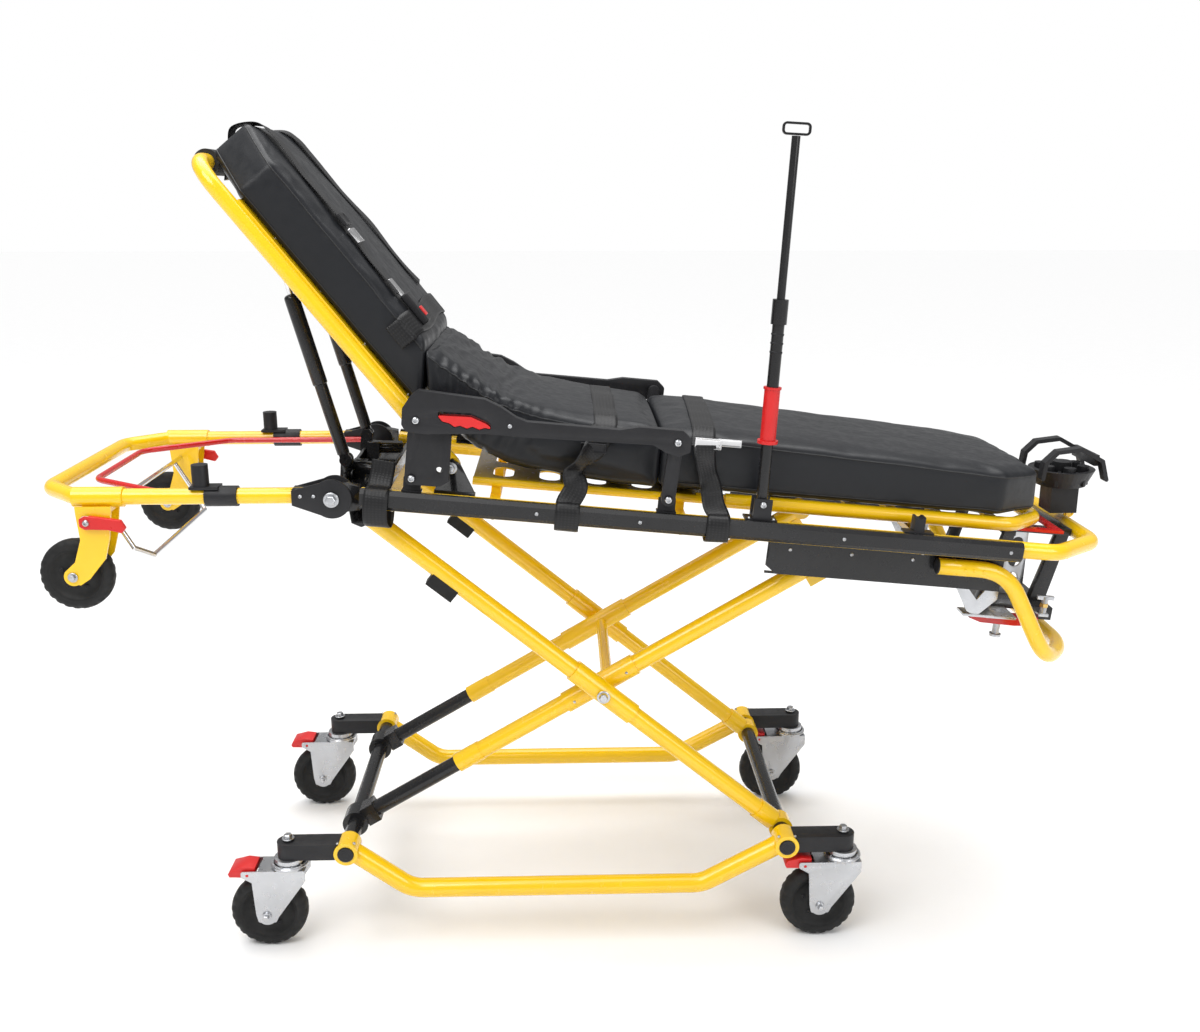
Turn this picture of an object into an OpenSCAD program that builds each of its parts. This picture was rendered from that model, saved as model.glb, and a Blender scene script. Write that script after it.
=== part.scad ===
// Ambulance cot on a folding X frame, millimetres.
// +X is the foot end, +Y the patient's left, +Z up. The floor is z = 0.

/* [View] */
// One sub-part, or the whole cot

/* [Base] */
// Distance from the centre plane to the base side tubes and casters
base_half_w = 286; // [270:1:320]
// Height of the base cross tube axes
base_axis_z = 205; // [195:1:230]
// Diameter of a caster wheel
wheel_d = 150; // [125:5:160]
// Trail of a caster, axle behind kingpin
trail = 45; // [35:1:55]

/* [X frame] */
// Outer leg length between its two pivots
outer_len = 1050; // [1000:1:1100]
// Angle of the outer legs above the floor
outer_angle = 39.4; // [36:0.1:42]
// Angle of the inner legs above the floor
inner_angle = 30.4; // [28:0.1:33]
// Outside diameter of the leg tubes
leg_d = 36; // [32:1:40]

/* [Litter] */
// Slope of the deck, down to the foot end
deck_tilt = 5.33; // [0:0.01:8]
// Distance from the centre plane to the rails
rail_half_w = 268; // [255:1:280]
// Outside diameter of the rails
rail_d = 32; // [28:1:36]
// Angle of the backrest above the deck
back_angle = 46.3; // [30:0.1:75]
// Length of the backrest frame from its hinge
back_len = 692; // [640:1:740]

/* [Head loop] */
// Distance from the centre plane to the loop tube
loop_half_w = 272; // [260:1:280]
// Height of the loop above the floor
loop_z = 917; // [900:1:930]
// Radius of a load wheel
load_r = 67; // [60:1:70]

/* [Hidden] */
$fn = 40;
shift_x = -61;
xh = -430;
xf = 435;
king_h = -545;
king_f = 550;
pin_d = outer_len - 583.6;
ox = xf - outer_len * cos(outer_angle);
oz = base_axis_z + outer_len * sin(outer_angle);
deck_o = [-378, 0, 915];
back_o = [167, 0, 62];
arm_a = [103, 156];
arm_b = [572, 156];
post_n = 45;
iv_s = 745;
iv_lean = -2.1;
yellow = [0.98, 0.80, 0.02];
black = [0.07, 0.07, 0.08];
red = [0.78, 0.10, 0.10];
zinc = [0.72, 0.74, 0.76];
vinyl = [0.11, 0.11, 0.12];

// ---- frames and helpers ----

// Work in the cot's own frame, with the origin under its middle.
module cot() {
  translate([shift_x, 0, 0]) children();
}

// Both sides of the centre plane.
module both() {
  children();
  mirror([0, 1, 0]) children();
}

// Deck frame: x runs along the rail to the foot, z stands square to the deck.
module deck() {
  translate(deck_o) rotate([0, deck_tilt, 0]) children();
}

// Backrest frame: x climbs the backrest, -z faces the patient.
module back() {
  deck() translate(back_o) rotate([0, back_angle - 180, 0]) children();
}

// A flat drawing in x and z, made th thick and centred on y.
module side(y, th) {
  translate([0, y + th / 2, 0]) rotate([90, 0, 0]) linear_extrude(th) children();
}

// A round bar along y.
module pin_y(x, z, y0, y1, d) {
  translate([x, y0, z]) rotate([-90, 0, 0]) cylinder(h = y1 - y0, d = d);
}

// A solid round bar between two points.
module rod(p, q, d) {
  v = q - p;
  translate(p) rotate([0, acos(v.z / norm(v)), atan2(v.y, v.x)]) rotate([0, 0, 23]) cylinder(h = norm(v), d = d);
}

// A solid round bar through a list of points, with round corners.
module bent_rod(pts, d) {
  for (i = [0:len(pts) - 2]) rod(pts[i], pts[i + 1], d);
  for (i = [1:len(pts) - 2]) translate(pts[i]) rotate([17, 31, 0]) sphere(d = d * 1.04);
}

// The section of a tube.
module ring(d, wall) {
  difference() {
    circle(d = d);
    circle(d = d - 2 * wall);
  }
}

function unit(v) = v / norm(v);
function heading(a, b) = atan2(b.y - a.y, b.x - a.x);
function wrap(t) = t > 180 ? t - 360 : (t < -180 ? t + 360 : t);
function turn(a, b, c) = wrap(heading(b, c) - heading(a, b));
function bite(p, i, r) = (i == 0 || i == len(p) - 1) ? 0 :
  r * tan(abs(turn(p[i - 1], p[i], p[i + 1])) / 2);

// A bent bar in the x-y plane: straight runs joined by true bends of radius r,
// a hair thinner than the runs they start inside.
module bent_tube(p, d, r) {
  for (i = [0:len(p) - 2]) {
    u = unit(p[i + 1] - p[i]);
    s = p[i] + u * bite(p, i, r);
    n = norm(p[i + 1] - p[i]) - bite(p, i, r) - bite(p, i + 1, r);
    translate([s.x, s.y, 0]) rotate([0, 90, heading(p[i], p[i + 1])]) cylinder(h = n, d = d);
  }
  for (i = [1:len(p) - 2]) {
    t = turn(p[i - 1], p[i], p[i + 1]);
    s = p[i] - unit(p[i] - p[i - 1]) * bite(p, i, r);
    translate([s.x, s.y, 0]) rotate([0, 0, heading(p[i - 1], p[i])])
      mirror([0, t < 0 ? 1 : 0, 0]) translate([0, r, 0]) rotate([0, 0, -91.5])
      rotate_extrude(angle = abs(t) + 3) translate([r, 0]) circle(d = d - 0.3);
  }
}

// A straight tube along x from x0 to x1.
module tube_x(x0, x1, d, wall) {
  translate([x0, 0, 0]) rotate([0, 90, 0]) linear_extrude(x1 - x0) ring(d, wall);
}

// The frame of an outer leg: x runs up the leg from its foot pivot.
module outer_line() {
  translate([xf, 0, base_axis_z]) rotate([0, outer_angle - 180, 0]) children();
}

// The frame of an inner leg: x runs up the leg from its foot pivot.
module inner_line() {
  translate([xh, 0, base_axis_z]) rotate([0, -inner_angle, 0]) children();
}

// A strip of even width along a list of points, drawn flat.
module ribbon(pts, w) {
  for (i = [0:len(pts) - 2]) hull() {
    translate(pts[i]) circle(d = w, $fn = 12);
    translate(pts[i + 1]) circle(d = w, $fn = 12);
  }
}

// ---- base ----

module base_side_tubes() {
  color(yellow) cot() both() difference() {
    union() {
      translate([0, base_half_w, 0]) rotate([90, 0, 0])
        bent_tube([[xh, base_axis_z], [-308, 114], [270, 114], [xf, base_axis_z]], 38, 70);
      pin_y(xh, base_axis_z, 262, 312, 47);
      pin_y(xf, base_axis_z, 262, 312, 47);
    }
    pin_y(xh, base_axis_z, 200, 330, 32.1);
    pin_y(xf, base_axis_z, 200, 330, 32.1);
  }
}

module base_cross_tubes() {
  color(black) cot() for (x = [xh, xf]) {
    translate([x, -300, base_axis_z]) rotate([-90, 0, 0]) linear_extrude(600) ring(32, 3);
    both() pin_y(x, base_axis_z, 300, 314, 31);
  }
}

module caster_arm(x, k) {
  dir = k < x ? -1 : 1;
  difference() {
    union() {
      translate([0, 0, 191]) linear_extrude(33) {
        translate([min(x + dir * 6, k), base_half_w - 22])
          square([abs(k - x) - 6, 44]);
        translate([k, base_half_w]) circle(d = 44);
      }
      translate([k, base_half_w, 224]) cylinder(h = 5, d = 20);
    }
    pin_y(x, base_axis_z, 250, 330, 47.2);
    translate([k, base_half_w, 180]) cylinder(h = 34, d = 14.1);
  }
}

module caster_arms() {
  color(black) cot() both() {
    caster_arm(xh, king_h);
    caster_arm(xf, king_f);
  }
}

// ---- casters ----

// One caster's place: kingpin at the origin, floor at z = 0.
module at_caster(k, s) {
  cot() translate([k, s * base_half_w, 0]) children();
}

module fork_plate() {
  difference() {
    offset(4) offset(-4) union() {
      polygon([[-90, 172], [-90, 160], [-70, 148], [-66, 78], [-62, 60], [-28, 60], [-22, 72], [34, 150], [34, 172]]);
      translate([-trail, 74]) circle(d = 38);
    }
    translate([-78, 164]) circle(d = 6.2);
  }
}

module caster_fork(k, s) {
  color(zinc) at_caster(k, s) {
    translate([0, 0, 171]) cylinder(h = 10, d = 70);
    translate([0, 0, 181]) cylinder(h = 9.7, d = 58);
    translate([0, 0, 190]) cylinder(h = 23, d = 14);
    translate([-58, -28, 168]) cube([92, 56, 4]);
    for (y = [-27.5, 27.5]) side(y, 3) fork_plate();
    pin_y(-trail, 75, -28, 28, 12);
    for (t = [-1, 1]) pin_y(-trail, 75, t * 31 - 3, t * 31 + 3, 19);
  }
}

module caster_wheel(k, s) {
  color(black) at_caster(k, s) translate([-trail, 0, wheel_d / 2]) rotate([90, 0, 0])
    rotate_extrude($fn = 64) polygon([[6.1, -22], [17, -22], [19, -9], [46, -6], [52, -15], [58, -17],
      [68, -17], [74, -12], [75, -6], [75, 6], [74, 12], [68, 17], [58, 17], [52, 15], [46, 6],
      [19, 9], [17, 22], [6.1, 22]]);
}

module caster_pedal(k, s) {
  color(red) at_caster(k, s) {
    side(0, 44) polygon([[-64, 176], [-66, 158], [-84, 156], [-114, 157], [-117, 163], [-112, 172], [-84, 179]]);
    pin_y(-78, 164, -29, 29, 6);
  }
}

// ---- X frame ----

module outer_legs() {
  color(yellow) cot() both() {
    difference() {
      outer_line() translate([0, 222, 0]) union() {
        tube_x(0, outer_len, leg_d, 2.5);
        tube_x(20, 62, 42, 3.2);
        tube_x(pin_d - 75, pin_d + 75, 43, 3.6);
        rotate([90, 0, 0]) cylinder(h = 34, d = 48, center = true);
        translate([outer_len, 0, 0]) rotate([90, 0, 0]) cylinder(h = 34, d = 42, center = true);
      }
      pin_y(xf, base_axis_z, 190, 250, 32.2);
      pin_y(ox, oz, 190, 250, 20.2);
    }
    outer_line() pin_y(pin_d, 0, 239, 250, 18);
  }
}

module leg_stops() {
  color(black) cot() both() outer_line() translate([845, 222, 0]) difference() {
    translate([-30, -15, 4]) cube([60, 30, 32]);
    translate([-40, 0, 0]) rotate([0, 90, 0]) cylinder(h = 80, d = leg_d);
  }
}

module inner_leg_lower_tubes() {
  color(black) cot() both() difference() {
    inner_line() translate([0, 172, 0]) union() {
      tube_x(0, 440, 31.6, 2.5);
      rotate([90, 0, 0]) cylinder(h = 46, d = 52, center = true);
      translate([22, -20, -20]) cube([28, 40, 40]);
    }
    pin_y(xh, base_axis_z, 140, 200, 32.2);
  }
}

module inner_leg_upper_tubes() {
  color(yellow) cot() both() inner_line() translate([0, 172, 0]) {
    tube_x(248, 1112, leg_d, 1.9);
    tube_x(244, 300, 39, 3.1);
    tube_x(500, 662, 43, 5);
    translate([1112, 0, 0]) rotate([90, 0, 0]) cylinder(h = 44, d = 38, center = true);
    translate([1040, -14, -33]) cube([60, 28, 20]);
  }
}

module inner_leg_brace() {
  color(yellow) cot() inner_line() difference() {
    pin_y(596, 0, -160, 160, 24);
    for (y = [-172, 172]) translate([560, y, 0]) rotate([0, 90, 0]) cylinder(h = 80, d = 43);
  }
}

// ---- litter ----

module main_frame_tubes() {
  color(yellow) cot() deck() {
    bent_tube([[8, -rail_half_w], [1318, -rail_half_w], [1432, -158], [1432, 158], [1318, rail_half_w],
      [8, rail_half_w]], rail_d, 55);
    both() difference() {
      translate([12, 259, -23]) cube([1228, 14, 12]);
      translate([0, rail_half_w, 0]) rotate([0, 90, 0]) cylinder(h = 1300, d = rail_d - 2);
    }
    for (s = [64, 250, 600, 1060]) both() difference() {
      translate([s - 10, 0, -5]) cube([20, 262, 11]);
      translate([0, rail_half_w, 0]) rotate([0, 90, 0]) cylinder(h = 1300, d = rail_d - 2);
    }
    translate([1446, 0, 20]) rotate([90, 0, 0]) rotate_extrude() translate([9, 0]) circle(d = 5);
    translate([1440, -4, 13]) cube([10, 8, 6]);
  }
}

module rail_bumpers() {
  color(black) cot() deck() both() difference() {
    translate([8, 0, 0]) rotate([90, 0, 90]) linear_extrude(1232)
      polygon([[274, -18], [290, -18], [296, -11], [296, 11], [290, 18], [280, 18], [280, 10], [274, 10]]);
    translate([0, rail_half_w, 0]) rotate([0, 90, 0]) cylinder(h = 1300, d = rail_d + 0.2);
    translate([0, 250, -24]) cube([1260, 23.2, 30]);
  }
}

module seat_pan() {
  color(yellow) cot() deck() {
    difference() {
      translate([205, -200, 30]) cube([440, 400, 3]);
      for (s = [260:90:600], y = [-120, 0, 120]) translate([s, y, 20]) {
        translate([-20, -20, 0]) cube([40, 40, 20]);
        for (t = [-20, 20]) translate([0, t, 0]) cylinder(h = 20, d = 40);
      }
    }
    for (y = [-200, 200]) translate([205, y, 30]) rotate([0, 90, 0]) cylinder(h = 440, d = 16);
    for (s = [250, 600], y = [-190, -70, 70, 190]) translate([s - 9, y - 8, 6]) cube([18, 16, 25]);
    both() {
      translate([630, 184, 26]) cube([48, 10, 14]);
      pin_y(662, 33, 190, 213, 10);
    }
  }
}

module track_covers() {
  color(black) cot() deck() both() {
    side(252, 3) polygon([[769, -24], [1224, -24], [1224, -90], [790, -90], [769, -74]]);
    translate([769, 250, -27]) cube([455, 12, 4]);
    translate([769, 248, -90]) cube([455, 5, 4]);
    translate([771, 253, -60]) cube([12, 6, 37]);
    translate([780, 206, -30]) cube([440, 45, 3]);
    translate([780, 206, -30]) cube([440, 3, 12]);
  }
}

module head_beam() {
  color(black) cot() {
    deck() {
      translate([-44, -250, -12]) cube([90, 500, 6]);
      translate([38, -250, -12]) cube([8, 500, 30]);
      translate([-44, -160, -12]) cube([6, 320, 24]);
      for (y = [-92, 92]) {
        translate([-30, y, 14]) rotate([0, 90, 20 * sign(y)]) cylinder(h = 66, d = 26);
        translate([-36, y - 16, -8]) cube([26, 32, 34]);
      }
    }
    both() {
      for (y = [196, 246]) side(y, 8) difference() {
        polygon([[ox - 24, 904], [ox + 26, 904], [ox + 20, oz - 14], [ox, oz - 22], [ox - 18, oz - 14]]);
        translate([ox, oz]) circle(d = 20);
      }
      side(268, 22) difference() {
        union() {
          translate([-420, 914]) circle(d = 60);
          polygon([[-420, 884], [-372, 890], [-372, 934], [-420, 944]]);
        }
        translate([-420, 914]) circle(d = 16.2);
      }
      translate([-382, 244, 892]) cube([11, 16, 18]);
      deck() difference() {
        side(243, 8) union() {
          polygon([[138, 14], [214, 14], [183, 68], [167, 78], [151, 68]]);
        }
        pin_y(167, 62, 230, 260, 12);
      }
      deck() pin_y(167, 62, 218, 252, 12);
      deck() translate([138, 241, 6]) cube([76, 11, 12]);
    }
    pin_y(ox, oz, -252, 252, 20);
    both() deck() {
      side(121, 6) union() {
        translate(spring_foot) circle(d = 24);
        translate([-56, -10]) square([24, 44]);
      }
      pin_y(spring_foot.x, spring_foot.y, 122, 143, 9.9);
    }
  }
}

module foot_lift_handle() {
  color(yellow) cot() deck() {
    bent_rod([[1092, -270, -44], [1226, -270, -44], [1334, -266, -216], [1404, -172, -216],
      [1404, 172, -216], [1334, 266, -216], [1226, 270, -44], [1092, 270, -44]], 31);
    both() for (s = [1110, 1170]) translate([s, 253.6, -50]) cube([20, 8, 12]);
  }
}

module latch_frame() {
  color(black) cot() deck() {
    both() {
      side(92, 18) polygon([[1388, 8], [1412, 8], [1384, -152], [1352, -152]]);
      side(130, 14) polygon([[1262, -4], [1284, -4], [1256, -150], [1228, -150]]);
      translate([1262, 80, -6]) cube([150, 24, 12]);
      translate([1262, 80, -6]) cube([22, 60, 12]);
    }
    translate([1330, -140, -176]) cube([58, 280, 26]);
    translate([1228, -140, -158]) cube([108, 280, 8]);
    translate([1388, -104, -4]) cube([24, 208, 12]);
    pin_y(1336, -169, -181, -136, 8);
  }
}

module latch_plates() {
  color(zinc) cot() deck() {
    both() side(232, 4) difference() {
      polygon([[1142, -84], [1232, -84], [1232, -112], [1196, -150], [1176, -140]]);
      polygon([[1172, -94], [1206, -94], [1192, -116]]);
    }
    both() translate([1170, 196, -150]) cube([62, 40, 5]);
    both() translate([1226, 141, -158]) cube([60, 72, 5]);
    side(-60, 5) difference() {
      polygon([[1298, 0], [1342, 0], [1352, -150], [1300, -150]]);
      for (n = [-40, -78, -116]) translate([1324, n]) circle(d = 26);
    }
    translate([1296, -100, -166.5]) cylinder(h = 8, d = 26);
    translate([1296, -100, -232]) cylinder(h = 66, d = 15);
    translate([1296, -100, -232]) cylinder(h = 6, d = 24);
    translate([1352, -176, -152]) cylinder(h = 36, d = 13);
    translate([1352, -176, -118]) cube([34, 8, 8], center = true);
    translate([1342, -184, -156]) cube([20, 43.8, 6]);
  }
}

module accessory_holder() {
  color(black) cot() translate([1030, -20, 0]) {
    difference() {
      translate([0, 0, 868]) cylinder(h = 34, r1 = 50, r2 = 66);
      translate([0, 0, 876]) cylinder(h = 40, r1 = 42, r2 = 60);
    }
    translate([0, 0, 872]) cylinder(h = 44, d = 40);
    for (a = [0:60:300]) rotate([0, 0, a]) {
      translate([14, -3, 872]) cube([44, 6, 26]);
      rotate([0, 0, 30]) translate([42, 0, 872]) cylinder(h = 38, d = 24);
    }
    translate([-28, -30, 812]) cube([56, 60, 58]);
    for (y = [-52, 58]) translate([0, y, 0]) rotate([90, 0, 0]) linear_extrude(22)
      ribbon([[-66, 894], [-62, 926], [-40, 948], [8, 954], [52, 930], [63, 892]], 8);
    translate([44, -52, 916]) cube([10, 110, 22]);
  }
}

module rail_clamps() {
  color(black) cot() deck() {
    both() for (s = [99, 568]) {
      side(267, 10) union() {
        translate([s, post_n]) circle(d = 26);
        translate([s - 16, 17]) square([32, 26]);
      }
      pin_y(s, post_n, 270, 289.6, 9.9);
      translate([s - 18, 256, 16.1]) cube([36, 23.8, 4]);
    }
    difference() {
      union() {
        translate([iv_s - 17, -281, 18.2]) cube([34, 38, 40]);
        translate([iv_s - 30, -279.8, 16.1]) cube([60, 36.8, 4]);
      }
      translate([iv_s - 40, -274.5, 26]) cube([80, 25, 60]);
    }
    pin_y(iv_s, 48, -281, -244, 9.9);
    translate([1016, -279.8, 16.1]) cube([56, 27.8, 4]);
    side(-262, 24) difference() {
      polygon([[1034, 18], [1054, 18], [1054, 48], [1034, 48]]);
      translate([1044, 50]) circle(d = 12);
    }
  }
}

// ---- soft goods ----

module mattress_seat() {
  color(vinyl) cot() deck() side(0, 440) offset(8) offset(-8)
    polygon([[222, 66], [360, 50], [630, 48], [630, 58], [598, 134], [500, 142], [360, 165], [284, 190], [222, 180]]);
}

module mattress_leg() {
  color(vinyl) cot() deck() translate([0, 0, 50]) linear_extrude(84) offset(12) offset(-12)
    polygon([[650, -228], [1216, -228], [1320, -150], [1320, 150], [1216, 228], [650, 228]]);
}

module mattress_back() {
  color(vinyl) cot() back() translate([0, 0, -106]) linear_extrude(84) offset(12) offset(-12)
    polygon([[122, -228], [610, -228], [676, -150], [676, 150], [610, 228], [122, 228]]);
}

// A strap's loop round both rails, with the run that climbs beside the mattress to height h.
module strap_sides(s, w, h) {
  both() translate([s, 0, 0]) {
    translate([0, 299, -27]) cube([w, 3, 50]);
    translate([0, 237, 20]) cube([w, 65, 3]);
    translate([0, 251, -30]) cube([w, 51, 3]);
    translate([0, 237, 20]) cube([w, 3, h - 20]);
  }
}

module restraint_straps() {
  color(vinyl) cot() deck() {
    strap_sides(380, 48, 171);
    translate([380, -240, 168]) cube([48, 480, 3]);
    strap_sides(640, 48, 142);
    both() translate([548, 237, 130]) cube([100, 3, 12]);
    translate([548, -240, 139]) cube([42, 480, 3]);
    translate([16, -302, -27]) cube([46, 3, 50]);
    translate([16, -302, 20]) cube([46, 51, 3]);
    translate([16, -302, -30]) cube([46, 51, 3]);
  }
}

module shoulder_harness() {
  color(vinyl) cot() back() {
    both() translate([240, 90, -112]) cube([440, 46, 3]);
    translate([236, -136, -112]) cube([50, 272, 3]);
  }
}

// ---- backrest ----

module backrest_frame() {
  color(yellow) cot() back() difference() {
    union() {
      bent_tube([[0, -218], [40, -218], [84, -234], [back_len, -234], [back_len, 234], [84, 234], [40, 218],
        [0, 218]], 30, 60);
      both() pin_y(0, 0, 219, 236, 30);
      difference() {
        translate([96, -234, -18]) cube([500, 468, 4]);
        for (u = [170:120:530]) translate([u, 0, -30]) {
          translate([-30, -110, 0]) cube([60, 220, 40]);
          for (t = [-110, 110]) translate([0, t, 0]) cylinder(h = 40, d = 60);
        }
      }
      translate([446, -156, -16]) cube([84, 36, 40]);
      translate([446, 120, -16]) cube([84, 36, 40]);
    }
    pin_y(0, 0, -260, -200, 12.2);
    pin_y(0, 0, 200, 260, 12.2);
    for (y = [-138, 138]) translate([440, y - 10, -30]) cube([100, 20, 80]);
  }
}

module backrest_grip() {
  color(black) cot() back() difference() {
    pin_y(back_len, 0, -150, 150, 46);
    pin_y(back_len, 0, -160, 160, 30.2);
  }
}

// Gas springs: one on each side, hung between the head beam and the backrest.
spring_foot = [-44, 34];
spring_top = [back_o.x - 492 * cos(back_angle) - 14 * sin(back_angle),
  back_o.z + 492 * sin(back_angle) - 14 * cos(back_angle)];
spring_len = norm(spring_top - spring_foot);
spring_angle = heading(spring_foot, spring_top);

// Gas spring frame: x runs up the spring from its foot.
module spring_line() {
  deck() translate([spring_foot.x, 0, spring_foot.y]) rotate([0, -spring_angle, 0]) children();
}

module gas_spring_cylinder() {
  color(black) cot() spring_line() both() difference() {
    union() {
      translate([14, 138, 0]) rotate([0, 90, 0]) cylinder(h = 182, d = 24);
      pin_y(0, 0, 134, 142, 24);
      translate([0, 134, -9]) cube([20, 8, 18]);
    }
    pin_y(0, 0, 120, 150, 10.1);
    translate([30, 138, 0]) rotate([0, 90, 0]) cylinder(h = 400, d = 12.4);
  }
}

module gas_spring_rod() {
  color(zinc) cot() spring_line() both() {
    translate([0, 138, 0]) rotate([0, 90, 0]) rotate_extrude()
      polygon([[0, 210], [6, 210], [6, 334], [12.2, 334], [12.2, 190], [14, 190], [14, 340], [6, 340],
        [6, spring_len - 6], [0, spring_len - 6]]);
    pin_y(spring_len, 0, 131, 145, 18);
  }
}

// ---- leg section ----

module leg_frame() {
  color(yellow) cot() deck() {
    translate([0, 0, 33])
      bent_tube([[684, -206], [1246, -206], [1318, -130], [1318, 130], [1246, 206], [684, 206]], 28, 45);
    both() translate([0, 0, 33]) side(206, 10) difference() {
      union() {
        translate([662, -11]) square([32, 22]);
        translate([662, 0]) circle(d = 26);
      }
      translate([662, 0]) circle(d = 10.2);
    }
    for (s = [760, 930, 1100, 1210]) translate([s, -200, 29]) cube([22, 400, 6]);
  }
}

// ---- head loop ----

module sickle() {
  difference() {
    hull() {
      translate([-880, 894]) square([64, 10]);
      translate([-876, 840]) square([52, 10]);
    }
    translate([-858, 877]) circle(d = 10.2);
  }
  difference() {
    union() {
      polygon([[-876, 842], [-824, 842], [-834, 806], [-866, 768], [-884, 756], [-908, 762], [-910, 782], [-890, 800]]);
      translate([-896, 772]) circle(d = 34);
    }
    translate([-896, 772]) circle(d = 12);
  }
}

module head_loop_frame() {
  color(yellow) cot() {
    translate([0, 0, loop_z]) bent_tube([[-470, -loop_half_w], [-884, -loop_half_w], [-960, -198], [-960, 198],
      [-884, loop_half_w], [-470, loop_half_w]], 30, 45);
    both() {
      difference() {
        translate([-888, loop_half_w, loop_z]) rotate([0, 90, 0]) cylinder(h = 90, d = 37);
        translate([-900, loop_half_w, loop_z]) rotate([0, 90, 0]) cylinder(h = 120, d = 27);
      }
      for (y = [loop_half_w - 22, loop_half_w + 22]) side(y, 4) sickle();
      translate([-872, loop_half_w - 22, 892]) cube([52, 44, 8]);
      pin_y(-896, 772, loop_half_w - 27, loop_half_w + 27, 12);
    }
  }
}

module loop_fittings() {
  color(black) cot() both() {
    for (y = [loop_half_w - 18.5, loop_half_w + 18.2]) side(y, 6) difference() {
      union() {
        translate([-420, 914]) circle(d = 72);
        polygon([[-492, 903], [-492, 930], [-440, 944], [-420, 930], [-420, 880], [-440, 884]]);
      }
      translate([-420, 914]) circle(d = 16);
    }
    difference() {
      translate([-492, loop_half_w - 16, 902]) cube([36, 32, 30]);
      translate([-480, loop_half_w, loop_z]) rotate([0, 90, 0]) cylinder(h = 60, d = 30);
      translate([-500, loop_half_w, loop_z]) rotate([0, 90, 0]) cylinder(h = 60, d = 30.1);
    }
    pin_y(-420, 914, loop_half_w - 21, loop_half_w + 20, 16);
    pin_y(-420, 914, loop_half_w + 19, loop_half_w + 26, 26);
    difference() {
      union() {
        translate([-650, loop_half_w, loop_z]) rotate([0, 90, 0]) cylinder(h = 58, d = 38);
        translate([-676, loop_half_w - 17, 932]) cube([52, 34, 5]);
        translate([-658, loop_half_w, 932]) cylinder(h = 44, d = 30);
      }
      translate([-700, loop_half_w, loop_z]) rotate([0, 90, 0]) cylinder(h = 140, d = 30.1);
    }
  }
}

module release_bar() {
  color(red) cot() translate([0, 0, loop_z]) bent_tube([[-446, -244], [-740, -244], [-900, -132], [-900, 132],
    [-740, 244], [-446, 244]], 12, 40);
}

module safety_bail() {
  color(zinc) cot() {
    pin_y(-858, 877, -302, 302, 10);
    bent_rod([[-858, -204, 877], [-815, -204, 800], [-790, -170, 776], [-790, 170, 776], [-815, 204, 800],
      [-858, 204, 877]], 10);
    both() {
      side(302, 8) union() {
        translate([-858, 877]) circle(d = 26);
        polygon([[-860, 889], [-798, 880], [-790, 866], [-796, 858], [-820, 864], [-858, 865]]);
      }
    }
  }
}

module load_wheel(s) {
  color(black) cot() translate([-896, s * loop_half_w, 772]) rotate([90, 0, 0])
    rotate_extrude($fn = 64) polygon([[6.1, -18], [16, -18], [18, -10], [44, -8], [50, -14], [58, -16], [64, -12],
      [load_r, -6], [load_r, 6], [64, 12], [58, 16], [50, 14], [44, 8], [18, 10], [16, 18], [6.1, 18]]);
}

// ---- armrests ----

module arm_post_head(s) {
  color(black) cot() deck() side(s * 280, 12) difference() {
    union() {
      hull() {
        translate([99, post_n]) circle(d = 26);
        translate([arm_a.x, arm_a.y]) circle(d = 30);
      }
      polygon([[99, 33], [150, 33], [166, 44], [166, 128], [148, 142], [103, 150]]);
    }
    translate([99, post_n]) circle(d = 10.1);
    translate([148, 64]) circle(d = 12);
  }
  color(black) cot() deck() pin_y(arm_a.x, arm_a.y, s > 0 ? 280 : -309, s > 0 ? 309 : -280, 9.9);
}

module arm_post_foot(s) {
  color(black) cot() deck() side(s * 280, 12) difference() {
    hull() {
      translate([568, post_n]) circle(d = 26);
      translate([arm_b.x, arm_b.y]) circle(d = 26);
    }
    translate([568, post_n]) circle(d = 10.1);
  }
  color(black) cot() deck() pin_y(arm_b.x, arm_b.y, s > 0 ? 280 : -309, s > 0 ? 309 : -280, 9.9);
}

module arm_outline() {
  offset(5) offset(-5) polygon([[78, 176], [92, 200], [104, 210], [222, 204], [252, 192], [280, 176],
    [300, 170], [466, 170], [500, 178], [580, 178], [596, 164], [596, 140], [576, 130], [552, 136],
    [528, 148], [300, 142], [222, 142], [120, 132], [86, 134], [78, 146]]);
}

module arm_trigger_outline() {
  offset(2) offset(-2) polygon([[140, 168], [200, 170], [228, 160], [242, 150], [226, 153], [216, 149], [204, 153],
    [194, 149], [182, 153], [172, 150], [162, 156], [150, 158]]);
}

module armrest(s) {
  color(black) cot() deck() side(s * 297, 20) difference() {
    arm_outline();
    translate([arm_a.x, arm_a.y]) circle(d = 10.1);
    translate([arm_b.x, arm_b.y]) circle(d = 10.1);
    for (n = [0:1.5:6]) translate([0, n]) offset(1.2) arm_trigger_outline();
  }
}

module arm_trigger(s) {
  color(red) cot() deck() side(s * 297, 18) arm_trigger_outline();
}

// ---- IV pole ----

// IV pole frame: z runs up the pole from its pivot.
module iv_line() {
  deck() translate([iv_s, -262, 48]) rotate([0, iv_lean, 0]) children();
}

module iv_pole_lower() {
  color(black) cot() iv_line() difference() {
    union() {
      cylinder(h = 344, d = 22);
      rotate([90, 0, 0]) cylinder(h = 22, d = 24, center = true);
      translate([0, 0, 330]) cylinder(h = 44, d = 29);
    }
    rotate([90, 0, 0]) cylinder(h = 40, d = 10.1, center = true);
    translate([0, 0, 30]) cylinder(h = 400, d = 15.2);
  }
}

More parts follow.
